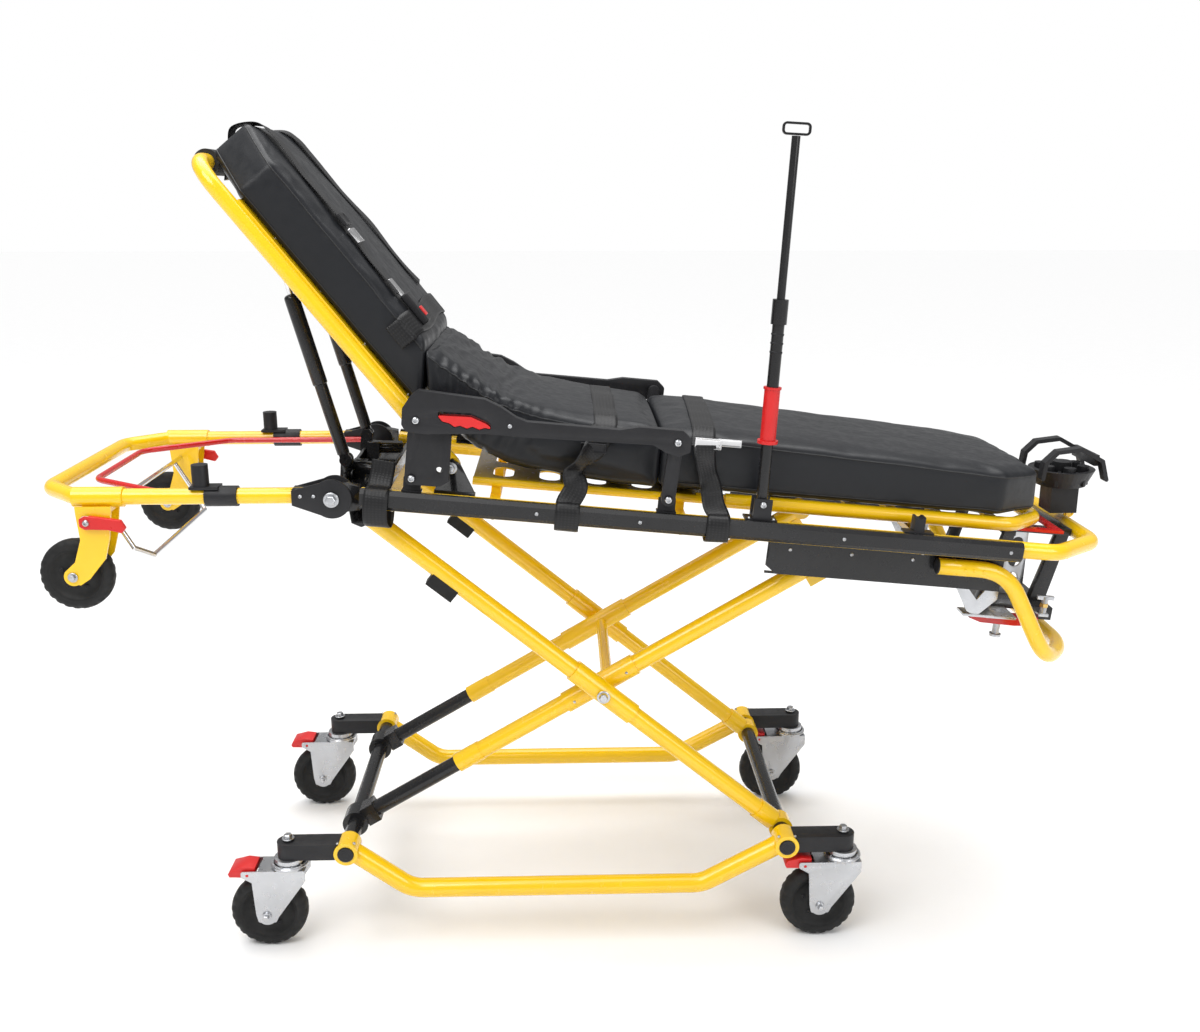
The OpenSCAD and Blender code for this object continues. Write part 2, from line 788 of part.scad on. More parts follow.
module iv_pole_grip() {
  color(red) cot() iv_line() translate([0, 0, 113]) difference() {
    union() {
      cylinder(h = 104, d = 29);
      cylinder(h = 6, d = 38);
      translate([0, 0, 100]) cylinder(h = 4, d = 33);
    }
    translate([0, 0, -1]) cylinder(h = 120, d = 22.2);
  }
}

module iv_pole_upper() {
  color(black) cot() iv_line() {
    translate([0, 0, 300]) cylinder(h = 352, d = 15);
    translate([0, 0, 652]) rotate([0, 90, 90]) translate([-12, 0, -3]) linear_extrude(6) difference() {
      offset(8) square([6, 34], center = true);
      offset(4) square([6, 34], center = true);
    }
  }
}

// ---- foot controls ----

module foot_release_lever() {
  color(red) cot() deck() side(-160, 34) difference() {
    polygon([[1206, -172], [1216, -164], [1320, -166], [1345, -161], [1345, -178], [1300, -182], [1230, -180]]);
    translate([1336, -169]) circle(d = 8.1);
  }
}

module foot_trigger_bar() {
  color(red) cot() deck() {
    both() translate([1272, 150, 12]) cube([96, 16, 6]);
    translate([1352, -166, 12]) cube([16, 332, 6]);
  }
}

base_side_tubes();
base_cross_tubes();
caster_arms();
outer_legs();
leg_stops();
inner_leg_lower_tubes();
inner_leg_upper_tubes();
inner_leg_brace();
main_frame_tubes();
rail_bumpers();
seat_pan();
track_covers();
head_beam();
foot_lift_handle();
latch_frame();
latch_plates();
accessory_holder();
rail_clamps();
mattress_seat();
restraint_straps();
backrest_frame();
backrest_grip();
mattress_back();
shoulder_harness();
gas_spring_cylinder();
gas_spring_rod();
leg_frame();
mattress_leg();
head_loop_frame();
loop_fittings();
release_bar();
safety_bail();
load_wheel(-1);  // load_wheel_right
load_wheel(1);  // load_wheel_left
arm_post_head(-1);  // arm_post_head_right
arm_post_head(1);  // arm_post_head_left
arm_post_foot(-1);  // arm_post_foot_right
arm_post_foot(1);  // arm_post_foot_left
armrest(-1);  // armrest_right
armrest(1);  // armrest_left
arm_trigger(-1);  // arm_trigger_right
arm_trigger(1);  // arm_trigger_left
iv_pole_lower();
iv_pole_grip();
iv_pole_upper();
foot_release_lever();
foot_trigger_bar();
caster_fork(king_h, -1);  // caster_fork_head_right
caster_fork(king_h, 1);  // caster_fork_head_left
caster_fork(king_f, -1);  // caster_fork_foot_right
caster_fork(king_f, 1);  // caster_fork_foot_left
caster_wheel(king_h, -1);  // caster_wheel_head_right
caster_wheel(king_h, 1);  // caster_wheel_head_left
caster_wheel(king_f, -1);  // caster_wheel_foot_right
caster_wheel(king_f, 1);  // caster_wheel_foot_left
caster_pedal(king_h, -1);  // caster_pedal_head_right
caster_pedal(king_h, 1);  // caster_pedal_head_left
caster_pedal(king_f, -1);  // caster_pedal_foot_right
caster_pedal(king_f, 1);  // caster_pedal_foot_left
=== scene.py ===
import math

import bmesh
import bpy
from mathutils import Matrix, Vector, noise
from mathutils.bvhtree import BVHTree


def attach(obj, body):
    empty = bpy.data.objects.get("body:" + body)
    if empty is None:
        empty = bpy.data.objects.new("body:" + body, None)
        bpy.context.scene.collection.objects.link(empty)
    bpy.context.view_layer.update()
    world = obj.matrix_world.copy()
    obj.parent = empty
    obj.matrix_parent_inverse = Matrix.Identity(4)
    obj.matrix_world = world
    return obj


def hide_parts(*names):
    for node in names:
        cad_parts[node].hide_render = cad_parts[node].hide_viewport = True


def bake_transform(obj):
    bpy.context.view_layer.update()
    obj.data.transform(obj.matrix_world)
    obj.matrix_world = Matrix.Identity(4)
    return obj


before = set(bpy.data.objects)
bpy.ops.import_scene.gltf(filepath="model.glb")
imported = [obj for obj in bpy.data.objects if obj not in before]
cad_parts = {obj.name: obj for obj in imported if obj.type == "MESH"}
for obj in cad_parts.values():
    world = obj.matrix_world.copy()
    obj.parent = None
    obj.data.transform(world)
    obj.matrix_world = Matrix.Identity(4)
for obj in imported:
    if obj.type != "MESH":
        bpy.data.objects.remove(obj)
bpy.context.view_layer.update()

# Driving places, in millimetres. The cot frame has x to the foot, y to the patient's left and z up.
# The deck frame has s along the rail to the foot and n square to the deck.
SHIFT = -0.061  # metres, puts the middle of the cot at the origin
TILT = math.radians(5.33)  # slope of the deck, down to the foot
LEAN = math.radians(46.3)  # slope of the backrest against the deck
DECK_X, DECK_Z = -378, 915
BACK_PIVOT_S, BACK_PIVOT_N = 167, 62
LEG_PIVOT_S, LEG_PIVOT_N = 662, 33
LOOP_PIVOT_X, LOOP_PIVOT_Z = -420, 914
BAIL_X, BAIL_Z = -858, 877
BASE_Z = 205
BASE_HEAD_X, BASE_FOOT_X = -430, 435
CASTER_X = (("head", -545), ("foot", 550))
CASTER_Y, CASTER_RADIUS, CASTER_TRAIL = 286, 75, 45
LOAD_X, LOAD_Y, LOAD_Z, LOAD_RADIUS = -896, 272, 772, 67
IV_S, IV_Y, IV_N = 745, -262, 48
IV_LEAN = math.radians(-2.1)
POSTS_S, POST_N, ARM_N = (99, 568), 45, 156  # armrest posts, their lower pivots and the arm's pivots
OUTER_LEG_ANGLE, OUTER_LEG_CROSSING = math.radians(39.4), 466.4
INNER_LEG_ANGLE = math.radians(30.4)
SIDES = (("right", -1), ("left", 1))
Y = Vector((0, 1, 0))


# ---- places ----

def deck(s, y, n):
    """A point of the deck frame (mm along the rail, across, square to the deck), in metres."""
    x = DECK_X + s * math.cos(TILT) + n * math.sin(TILT)
    z = DECK_Z - s * math.sin(TILT) + n * math.cos(TILT)
    return Vector((x / 1000 + SHIFT, y / 1000, z / 1000))


def back(u, y, w):
    """A point of the backrest frame: up the backrest, across, out towards the patient."""
    s = BACK_PIVOT_S - u * math.cos(LEAN) + w * math.sin(LEAN)
    n = BACK_PIVOT_N + u * math.sin(LEAN) + w * math.cos(LEAN)
    return deck(s, y, n)


def cot(x, y, z):
    """A point of the cot frame, in metres."""
    return Vector((x / 1000 + SHIFT, y / 1000, z / 1000))


DECK_N = (deck(0, 0, 1) - deck(0, 0, 0)).normalized()
DECK_S = (deck(1, 0, 0) - deck(0, 0, 0)).normalized()
BACK_N = (back(0, 0, 1) - back(0, 0, 0)).normalized()
BACK_U = (back(1, 0, 0) - back(0, 0, 0)).normalized()


# ---- materials ----

def material(name, colour, rough=0.4, metal=0.0, grain=400.0, bump=0.1, depth=0.0004, vary=0.12, wear=0.0,
             worn=(0.3, 0.3, 0.3), coat=0.0, coat_rough=0.05, cells=False, specular=0.5):
    """A surface with grain in its bump, slow changes in colour and roughness, and scuffs."""
    m = bpy.data.materials.new(name)
    m.use_nodes = True
    t = m.node_tree
    b = t.nodes["Principled BSDF"]
    b.inputs["Metallic"].default_value = metal
    b.inputs["Specular IOR Level"].default_value = specular
    b.inputs["Coat Weight"].default_value = coat
    b.inputs["Coat Roughness"].default_value = coat_rough
    where = t.nodes.new("ShaderNodeTexCoord").outputs["Object"]

    def noise_at(scale, detail=4.0, roughness=0.6):
        n = t.nodes.new("ShaderNodeTexNoise")
        n.inputs["Scale"].default_value = scale
        n.inputs["Detail"].default_value = detail
        n.inputs["Roughness"].default_value = roughness
        t.links.new(where, n.inputs["Vector"])
        return n.outputs["Fac"]

    def spread(value, low, high, to_low, to_high):
        n = t.nodes.new("ShaderNodeMapRange")
        for key, v in (("From Min", low), ("From Max", high), ("To Min", to_low), ("To Max", to_high)):
            n.inputs[key].default_value = v
        t.links.new(value, n.inputs["Value"])
        return n.outputs["Result"]

    def mixed(fac, a, c):
        n = t.nodes.new("ShaderNodeMix")
        n.data_type = "RGBA"
        t.links.new(fac, n.inputs["Factor"])
        for socket, v in ((n.inputs["A"], a), (n.inputs["B"], c)):
            if isinstance(v, tuple):
                socket.default_value = v + (1.0,)
            else:
                t.links.new(v, socket)
        return n.outputs["Result"]

    slow = noise_at(9.0)
    dark = tuple(c * (1 - vary) for c in colour)
    light = tuple(min(1.0, c * (1 + vary * 0.6)) for c in colour)
    tint = mixed(spread(slow, 0.3, 0.7, 0.0, 1.0), dark, light)
    if wear:
        scuff = spread(noise_at(38.0, 8.0, 0.75), 0.66, 0.72, 0.0, wear)
        tint = mixed(scuff, tint, worn)
    t.links.new(tint, b.inputs["Base Color"])
    gloss = spread(noise_at(60.0, 6.0), 0.3, 0.75, rough * 0.8, min(1.0, rough * 1.25))
    t.links.new(gloss, b.inputs["Roughness"])
    if cells:
        v = t.nodes.new("ShaderNodeTexVoronoi")
        v.inputs["Scale"].default_value = grain
        t.links.new(where, v.inputs["Vector"])
        height = v.outputs["Distance"]
    else:
        height = noise_at(grain, 3.0)
    bu = t.nodes.new("ShaderNodeBump")
    bu.inputs["Strength"].default_value = bump
    bu.inputs["Distance"].default_value = depth
    t.links.new(height, bu.inputs["Height"])
    t.links.new(bu.outputs["Normal"], b.inputs["Normal"])
    return m


def webbing(name, colour):
    """Woven strap: fine ribs across, two picks along, from the strap's own length and width, with painted
    shade in the weave's grooves and painted highlight on its ribs.
    """
    m = bpy.data.materials.new(name)
    m.use_nodes = True
    t = m.node_tree
    b = t.nodes["Principled BSDF"]
    b.inputs["Roughness"].default_value = 0.42
    b.inputs["Specular IOR Level"].default_value = 0.35
    uv = t.nodes.new("ShaderNodeUVMap")
    uv.uv_map = "strap"
    heights = []
    for direction, scale in (("X", 420.0), ("Y", 300.0)):
        w = t.nodes.new("ShaderNodeTexWave")
        w.bands_direction = direction
        w.inputs["Scale"].default_value = scale / 6.283
        w.inputs["Distortion"].default_value = 0.6
        t.links.new(uv.outputs["UV"], w.inputs["Vector"])
        heights.append(w.outputs["Fac"])
    add = t.nodes.new("ShaderNodeMath")
    add.operation = "MULTIPLY"
    t.links.new(heights[0], add.inputs[0])
    t.links.new(heights[1], add.inputs[1])
    bu = t.nodes.new("ShaderNodeBump")
    bu.inputs["Strength"].default_value = 0.5
    bu.inputs["Distance"].default_value = 0.0006
    t.links.new(add.outputs[0], bu.inputs["Height"])
    t.links.new(bu.outputs["Normal"], b.inputs["Normal"])
    # Painted shade and highlight: the colour follows the weave's height, darker in its grooves and lighter on
    # its raised ribs.
    weave_shade_mix = t.nodes.new("ShaderNodeMix")
    weave_shade_mix.data_type = "RGBA"
    weave_shade_mix.inputs["A"].default_value = tuple(c * 0.6 for c in colour) + (1.0,)
    weave_shade_mix.inputs["B"].default_value = tuple(c * 1.5 for c in colour) + (1.0,)
    t.links.new(add.outputs[0], weave_shade_mix.inputs["Factor"])
    t.links.new(weave_shade_mix.outputs["Result"], b.inputs["Base Color"])
    return m


YELLOW = material("yellow_powder_coat", (0.88, 0.545, 0.003), 0.24, grain=900, bump=0.12, depth=0.0002,
                  vary=0.04, wear=0.25, worn=(0.62, 0.40, 0.02), coat=0.5, coat_rough=0.08)
BLACK_GLOSS = material("black_enamel", (0.012, 0.012, 0.013), 0.25, grain=700, bump=0.1, depth=0.0002,
                       vary=0.3, wear=0.5, worn=(0.04, 0.04, 0.04), coat=0.15, specular=0.35)
BLACK_PLASTIC = material("black_moulded_plastic", (0.016, 0.016, 0.018), 0.46, grain=1500, bump=0.35,
                         depth=0.0002, vary=0.25, wear=0.4, worn=(0.045, 0.045, 0.05), specular=0.3)
RUBBER = material("black_rubber", (0.013, 0.013, 0.013), 0.62, grain=500, bump=0.3, depth=0.0003, vary=0.35,
                  wear=0.6, worn=(0.05, 0.047, 0.044), specular=0.3)
GRIP = material("grip_foam", (0.012, 0.012, 0.012), 0.8, grain=900, bump=0.7, depth=0.0005, vary=0.3,
                cells=True)
RED = material("red_moulded_plastic", (0.62, 0.012, 0.012), 0.34, grain=1300, bump=0.25, depth=0.0002,
               vary=0.1, wear=0.3, worn=(0.5, 0.08, 0.06))
RED_METAL = material("red_enamel", (0.55, 0.008, 0.008), 0.25, grain=800, bump=0.1, depth=0.0002, vary=0.08,
                     wear=0.3, worn=(0.3, 0.02, 0.02), coat=0.4)
ZINC = material("zinc_plate", (0.50, 0.51, 0.53), 0.3, metal=0.95, grain=350, bump=0.12, depth=0.0002,
                vary=0.1, wear=0.25, worn=(0.36, 0.36, 0.37))
STEEL = material("bright_steel", (0.72, 0.72, 0.73), 0.16, metal=1.0, grain=900, bump=0.06, depth=0.0001,
                 vary=0.08)
BRASS = material("brass", (0.62, 0.42, 0.14), 0.28, metal=1.0, grain=600, bump=0.1, vary=0.15)
VINYL = material("grey_vinyl", (0.011, 0.012, 0.0145), 0.38, grain=1500, bump=0.16, depth=0.0002, vary=0.05,
                 cells=True, specular=0.30)
SEAM = material("vinyl_seam", (0.012, 0.013, 0.015), 0.5, grain=1500, bump=0.4, depth=0.0003, vary=0.2)
WEB = webbing("black_webbing", (0.009, 0.009, 0.010))

LOOKS = [
    (YELLOW, "base_side_tubes outer_legs inner_leg_upper_tubes inner_leg_brace main_frame_tubes seat_pan "
             "foot_lift_handle backrest_frame leg_frame head_loop_frame"),
    (BLACK_GLOSS, "base_cross_tubes inner_leg_lower_tubes rail_bumpers track_covers head_beam latch_frame "
                  "gas_spring_cylinder iv_pole_lower iv_pole_upper"),
    (BLACK_PLASTIC, "caster_arms accessory_holder rail_clamps loop_fittings "
                    "arm_post_head_right arm_post_head_left arm_post_foot_right arm_post_foot_left "
                    "armrest_right armrest_left"),
    (RUBBER, "leg_stops"),
    (GRIP, "backrest_grip"),
    (RED, "arm_trigger_right arm_trigger_left iv_pole_grip caster_pedal_head_right caster_pedal_head_left "
          "caster_pedal_foot_right caster_pedal_foot_left"),
    (RED_METAL, "release_bar foot_release_lever foot_trigger_bar"),
    (ZINC, "latch_plates caster_fork_head_right caster_fork_head_left "
           "caster_fork_foot_right caster_fork_foot_left"),
    (STEEL, "gas_spring_rod safety_bail"),
]
for mat, names in LOOKS:
    for name in names.split():
        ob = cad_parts[name]
        ob.data.materials.clear()
        ob.data.materials.append(mat)


# ---- mesh helpers ----

def make(name, verts, faces, mat, body=None, smooth=True, origin=None):
    """A mesh object in the shared frame that rides on a body."""
    me = bpy.data.meshes.new(name)
    o = Vector(origin) if origin is not None else Vector()
    me.from_pydata([tuple(Vector(v) - o) for v in verts], [], faces)
    bm = bmesh.new()
    bm.from_mesh(me)
    bmesh.ops.recalc_face_normals(bm, faces=bm.faces)
    bm.to_mesh(me)
    bm.free()
    ob = bpy.data.objects.new(name, me)
    ob.location = o
    bpy.context.scene.collection.objects.link(ob)
    me.materials.append(mat)
    if smooth:
        me.polygons.foreach_set("use_smooth", [True] * len(me.polygons))
    if body:
        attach(ob, body)
    return ob


def rings(count, segs, capped=False):
    """Faces of a skin over rings of points, with its two ends closed if capped."""
    faces = []
    for k in range(count - 1):
        for i in range(segs):
            j = (i + 1) % segs
            faces.append((k * segs + i, k * segs + j, (k + 1) * segs + j, (k + 1) * segs + i))
    if capped:
        faces.append(tuple(range(segs)))
        faces.append(tuple(range((count - 1) * segs, count * segs)))
    return faces


def sweep(points, radius, segs):
    """A round skin along a line of points, with closed ends."""
    verts = []
    n = len(points)
    for i, p in enumerate(points):
        tangent = (points[min(i + 1, n - 1)] - points[max(i - 1, 0)]).normalized()
        a = tangent.orthogonal().normalized() if i == 0 else (a - tangent * a.dot(tangent)).normalized()
        b = tangent.cross(a)
        for k in range(segs):
            t = 2 * math.pi * k / segs
            verts.append(p + (a * math.cos(t) + b * math.sin(t)) * radius)
    return verts, rings(n, segs, capped=True)


def lathe(profile, at, axis, segs):
    """Turned solid: (radius, height) pairs in metres about an axis through a point."""
    axis = Vector(axis).normalized()
    q = Vector((0, 0, 1)).rotation_difference(axis).to_matrix()
    verts = []
    for r, h in profile:
        for i in range(segs):
            a = 2 * math.pi * i / segs
            verts.append(Vector(at) + q @ Vector((r * math.cos(a), r * math.sin(a), h)))
    return verts, rings(len(profile), segs)


class Kit:
    """Small hardware of one body, gathered into one mesh."""

    def __init__(self):
        self.parts = {}

    def add(self, body, mat, verts, faces):
        """Put a closed skin into the mesh of its body and material."""
        vs, fs = self.parts.setdefault((body, mat.name), ([], []))
        base = len(vs)
        vs.extend(verts)
        fs.extend(tuple(i + base for i in f) for f in faces)

    def turned(self, body, mat, profile, at, axis, segs=28):
        """A turned solid from (radius, height) pairs in millimetres."""
        mm = [(r / 1000, h / 1000) for r, h in profile]
        v, f = lathe([(1e-6, mm[0][1])] + mm + [(1e-6, mm[-1][1])], at, axis, segs)
        self.add(body, mat, v, f)

    def bolt(self, body, at, axis, d=10.0, h=5.0):
        """Hexagon head of height h on a washer of radius d."""
        self.turned(body, ZINC, [(d * 1.0, -0.5), (d * 1.0, 1.0), (d * 0.94, 1.5)], at, axis)
        head = [(d * 0.62, 1.0), (d * 0.66, 1.6), (d * 0.66, h), (d * 0.56, h + 1), (d * 0.2, h + 1.2)]
        self.turned(body, ZINC, head, at, axis, 6)

    def cap(self, body, at, axis, d=10.0, h=4.0):
        """Button head of diameter d with a socket."""
        head = [(d * 0.5, -0.5), (d * 0.5, h * 0.35), (d * 0.44, h * 0.75), (d * 0.3, h),
                (d * 0.25, h * 0.95), (d * 0.24, h * 0.35)]
        self.turned(body, ZINC, head, at, axis, 24)

    def rivet(self, body, at, axis, d=6.0, mat=None):
        """Domed rivet head of diameter d."""
        head = [(d * 0.5, -0.4), (d * 0.5, 0.5), (d * 0.4, 1.4), (d * 0.2, 1.8)]
        self.turned(body, mat or ZINC, head, at, axis, 16)

    def finish(self):
        """Make one piece for each body and material."""
        for (body, mat), (vs, fs) in self.parts.items():
            ob = make("fittings_" + body + "_" + mat, vs, fs, bpy.data.materials[mat], body, smooth=False)
            ob.data.validate()


kit = Kit()


def spline(points, per=10):
    """Catmull-Rom points through a list of vectors."""
    out = []
    n = len(points)
    for i in range(n - 1):
        p0, p1, p2, p3 = points[max(i - 1, 0)], points[i], points[i + 1], points[min(i + 2, n - 1)]
        for k in range(per):
            t = k / per
            out.append(0.5 * ((2 * p1) + (p2 - p0) * t + (2 * p0 - 5 * p1 + 4 * p2 - p3) * t * t
                              + (3 * p1 - p0 - 3 * p2 + p3) * t ** 3))
    out.append(points[-1])
    return out


def strap(name, path, across, width, body=None, thick=1.8, ripple=0.0):
    """Flat webbing along a path. across gives the width direction at each given point."""
    pts = spline([Vector(p) for p in path])
    dirs = spline([Vector(a).normalized() for a in across])
    nw = 8
    w, h = width / 1000, thick / 2000
    # Half thickness at each step across: thin at the edge, with a thicker selvedge beside it.
    edges = [0.55 if k in (0, nw) else (1.12 if k in (1, nw - 1) else 1.0) for k in range(nw + 1)]
    verts, uvs = [], []
    length = 0.0
    for i, p in enumerate(pts):
        tangent = (pts[min(i + 1, len(pts) - 1)] - pts[max(i - 1, 0)]).normalized()
        side = dirs[i] - tangent * dirs[i].dot(tangent)
        side.normalize()
        up = tangent.cross(side).normalized()
        if i:
            length += (p - pts[i - 1]).length
        wob = ripple / 1000 * noise.noise(p * 14.0)
        for k in range(nw + 1):
            f = k / nw - 0.5
            verts.append(p + side * w * f + up * (h * edges[k] + wob * (1 + f)))
            uvs.append((length, f * w))
        for k in range(nw, -1, -1):
            f = k / nw - 0.5
            verts.append(p + side * w * f - up * (h * edges[k] - wob * (1 + f)))
            uvs.append((length, f * w))
    ob = make(name, verts, rings(len(pts), 2 * (nw + 1), capped=True), WEB, body)
    layer = ob.data.uv_layers.new(name="strap")
    for loop in ob.data.loops:
        layer.data[loop.index].uv = uvs[loop.vertex_index]
    return ob


def lines(length, radius, step):
    """Grid lines from 0 to length, closer together at the rounded ends."""
    inner = [radius * f for f in (0.0, 0.3, 0.6, 1.0)]
    n = max(2, int(round((length - 2 * radius) / step)))
    mid = [radius + (length - 2 * radius) * i / n for i in range(1, n)]
    return inner + mid + [length - v for v in reversed(inner)]


def cushion_mesh(length, half, thick, radius, step, warp):
    """Rounded box of one even grid, then bent into place by warp(a, y, c)."""
    la = lines(length, radius, step)
    ly = [v - half for v in lines(2 * half, radius, step)]
    lc = lines(thick, radius, step)
    na, ny, nc = len(la), len(ly), len(lc)
    index, verts, faces = {}, [], []

    def vert(i, j, k):
        if (i, j, k) not in index:
            p = Vector((la[i], ly[j], lc[k]))
            c = Vector((min(max(p.x, radius), length - radius), min(max(p.y, radius - half), half - radius),
                        min(max(p.z, radius), thick - radius)))
            d = p - c
            p = c + d.normalized() * radius if d.length > 1e-9 else p
            index[(i, j, k)] = len(verts)
            verts.append(warp(p.x, p.y, p.z))
        return index[(i, j, k)]

    def quads(n, m, at):
        for a in range(n - 1):
            for b in range(m - 1):
                faces.append((at(a, b), at(a + 1, b), at(a + 1, b + 1), at(a, b + 1)))

    for k in (0, nc - 1):
        quads(na, ny, lambda a, b: vert(a, b, k))
    for j in (0, ny - 1):
        quads(na, nc, lambda a, b: vert(a, j, b))
    for i in (0, na - 1):
        quads(ny, nc, lambda a, b: vert(i, a, b))
    return verts, faces


CLOTH_FRAMES = 16


def inflate(ob, pressure, cap):
    """Blow a closed cover up as cloth, keep the wrinkles, and cap how far it moves."""
    scene = bpy.context.scene
    start = [v.co.copy() for v in ob.data.vertices]
    mod = ob.modifiers.new("Cloth", "CLOTH")
    s = mod.settings
    s.quality = 4
    s.mass = 0.25
    s.tension_stiffness = s.compression_stiffness = 22
    s.shear_stiffness = 8
    s.bending_stiffness = 0.35
    s.use_pressure = True
    s.uniform_pressure_force = pressure
    s.effector_weights.gravity = 0
    mod.collision_settings.use_collision = False
    mod.point_cache.frame_start, mod.point_cache.frame_end = 1, CLOTH_FRAMES
    for f in range(1, CLOTH_FRAMES + 1):
        scene.frame_set(f)
    after = ob.evaluated_get(bpy.context.evaluated_depsgraph_get()).data
    moved = []
    for a, v in zip(start, after.vertices):
        d = v.co - a
        moved.append(a + d * (min(1.0, cap / d.length) if d.length > 1e-9 else 0.0))
    ob.modifiers.remove(mod)
    for v, co in zip(ob.data.vertices, moved):
        v.co = co
    scene.frame_set(1)
    ob.data.update()


def smoothed(ob):
    """Round a piece's grid once more when it is drawn."""
    mod = ob.modifiers.new("Subdivision", "SUBSURF")
    mod.levels = mod.render_levels = 1


def surface(ob):
    """A search tree over a piece's present shape, in the shared frame."""
    verts = [ob.matrix_world @ v.co for v in ob.data.vertices]
    return BVHTree.FromPolygons(verts, [tuple(p.vertices) for p in ob.data.polygons])


def seam(name, tree, points, r=1.3, out=0.0004, segs=6):
    """A sewn edge: a thin bead that lies on the cushion along the given points."""
    pts = []
    for p in points:
        hit, normal, _, _ = tree.find_nearest(p)
        pts.append(hit + (p - hit).normalized() * out if (p - hit).length > 1e-6 else hit)
    n = len(pts)
    smooth = [(pts[max(i - 1, 0)] + pts[i] * 2 + pts[min(i + 1, n - 1)]) / 4 for i in range(n)]
    return make(name, *sweep(smooth, r / 1000, segs), SEAM)


def tube(name, points, r, bend, mat, body, segs=24):
    """A tube through corner points with round bends and capped ends."""
    pts = [points[0]]
    for a, b, c in zip(points, points[1:], points[2:]):
        back_way, on = (a - b).normalized(), (c - b).normalized()
        for k in range(13):
            t = k / 12
            pts.append(b + back_way * bend * (1 - t) ** 2 + on * bend * t ** 2)
    pts.append(points[-1])
    return make(name, *sweep(pts, r, segs), mat, body)


def curve_at(table, t):
    """Smooth reading of a list of (a, b) rows at t from 0 to 1."""
    n = len(table) - 1
    f = min(max(t, 0.0), 1.0) * n
    i = min(int(f), n - 1)
    t = f - i
    rows = [table[max(i - 1, 0)], table[i], table[i + 1], table[min(i + 2, n)]]
    return tuple(0.5 * (2 * b + (c - a) * t + (2 * a - 5 * b + 4 * c - d) * t * t
                        + (3 * b - a - 3 * c + d) * t ** 3)
                 for a, b, c, d in zip(*rows))


# ---- cushions ----

STEP = 9.0  # grid of the pads
BACK_LENGTH, BACK_HALF, BACK_THICK = 590, 228, 86
SEAT_LENGTH, SEAT_HALF, SEAT_THICK = 560, 226, 100
LEG_LENGTH, LEG_HALF, LEG_THICK = 766, 228, 92
CROWN = 5  # how much a pad rises at its middle


def back_warp(a, y, c):
    """Backrest pad: chamfered corners at the head, a slanted lower end."""
    f = c / BACK_THICK
    low = 112 + 84 * f
    u = low + (704 - low) * a / BACK_LENGTH
    half = BACK_HALF - max(0.0, u - 612) * 0.84
    along = math.sin(math.pi * min(1.0, max(0.0, a / BACK_LENGTH)))
    crown = CROWN * (1 - (y / BACK_HALF) ** 2) * along * f
    sag = 1.6 * noise.noise(Vector((u / 60, y / 60, 0.3))) * f
    return back(u, y * half / BACK_HALF, 19 + BACK_THICK * f + crown + sag)


# Underside and top of the seat pad in the deck frame, from the backrest pad to the leg pad.
FLEX_LOW = [(112, 192), (138, 158), (170, 125), (214, 97), (278, 72), (366, 58), (460, 52), (556, 51)]
FLEX_TOP = [(104, 274), (142, 250), (194, 220), (246, 194), (304, 179), (378, 170), (462, 163), (555, 157)]


def flex_warp(a, y, c):
    """Seat pad and its gathered bend: pleats fan out from the lower end of the backrest pad."""
    t = a / SEAT_LENGTH
    f = c / SEAT_THICK
    low = Vector(curve_at(FLEX_LOW, t) + (0.0,))
    top = Vector(curve_at(FLEX_TOP, t) + (0.0,))
    p = low + (top - low) * f
    out = (top - low).normalized()
    fade = max(0.0, 1 - ((t - 0.34) / 0.34) ** 2)
    edge = 0.75 + 0.25 * min(1.0, abs(y) / 180.0) ** 2
    fan = a + (1 - f) * (a - 190) * 0.25
    fold = 1 - 2 * abs(noise.noise(Vector((fan / 27, y / 150, 1.7))) * 2)
    ruck = noise.noise(Vector((fan / 15, y / 60, 4.0)))
    lift = fade * edge * (3.4 * fold + 1.4 * ruck) * (0.4 + 0.6 * f)
    side = fade * (3.2 * fold + 2.0 * ruck) if abs(y) > 190 else 0.0
    crown = CROWN * (1 - (y / SEAT_HALF) ** 2) * f
    q = p + out * (lift + crown)
    return deck(q.x, y + math.copysign(side, y), q.y)


def leg_warp(a, y, c):
    """Leg pad: from the end of the seat to the foot, with chamfered corners."""
    s = 547 + a
    half = LEG_HALF - max(0.0, s - 1216) * 0.76
    f = c / LEG_THICK
    top = 156 - 26 * max(0.0, (s - 640) / 680.0)
    crown = CROWN * (1 - (y / LEG_HALF) ** 2) * f
    sag = 1.5 * noise.noise(Vector((s / 70, y / 60, 2.1))) * f
    foot = max(0.0, s - 1250) * 0.10 * f
    return deck(s - foot, y * half / LEG_HALF, 52 + (top - 52) * f + crown + sag)


grid = cushion_mesh(BACK_LENGTH, BACK_HALF, BACK_THICK, 13, STEP, back_warp)
backpad = make("backrest_cushion", *grid, VINYL)
grid = cushion_mesh(SEAT_LENGTH, SEAT_HALF, SEAT_THICK, 15, STEP * 0.8, flex_warp)
seatpad = make("seat_cushion", *grid, VINYL)
grid = cushion_mesh(LEG_LENGTH, LEG_HALF, LEG_THICK, 14, STEP, leg_warp)
legpad = make("leg_cushion", *grid, VINYL)
inflate(backpad, 3.5, 0.007)
inflate(seatpad, 2.5, 0.005)
inflate(legpad, 3.5, 0.007)
pads = {"back": surface(backpad), "seat": surface(seatpad), "leg": surface(legpad)}


def rim(warp, length, half, c, count=90):
    """Points round a cushion at height c, a little inside its edge."""
    pts = [warp(6 + (length - 12) * i / count, -half, c) for i in range(count + 1)]
    pts += [warp(length, -half + 2 * half * i / 40, c) for i in range(1, 40)]
    pts += [warp(length - 6 - (length - 12) * i / count, half, c) for i in range(count + 1)]
    return pts


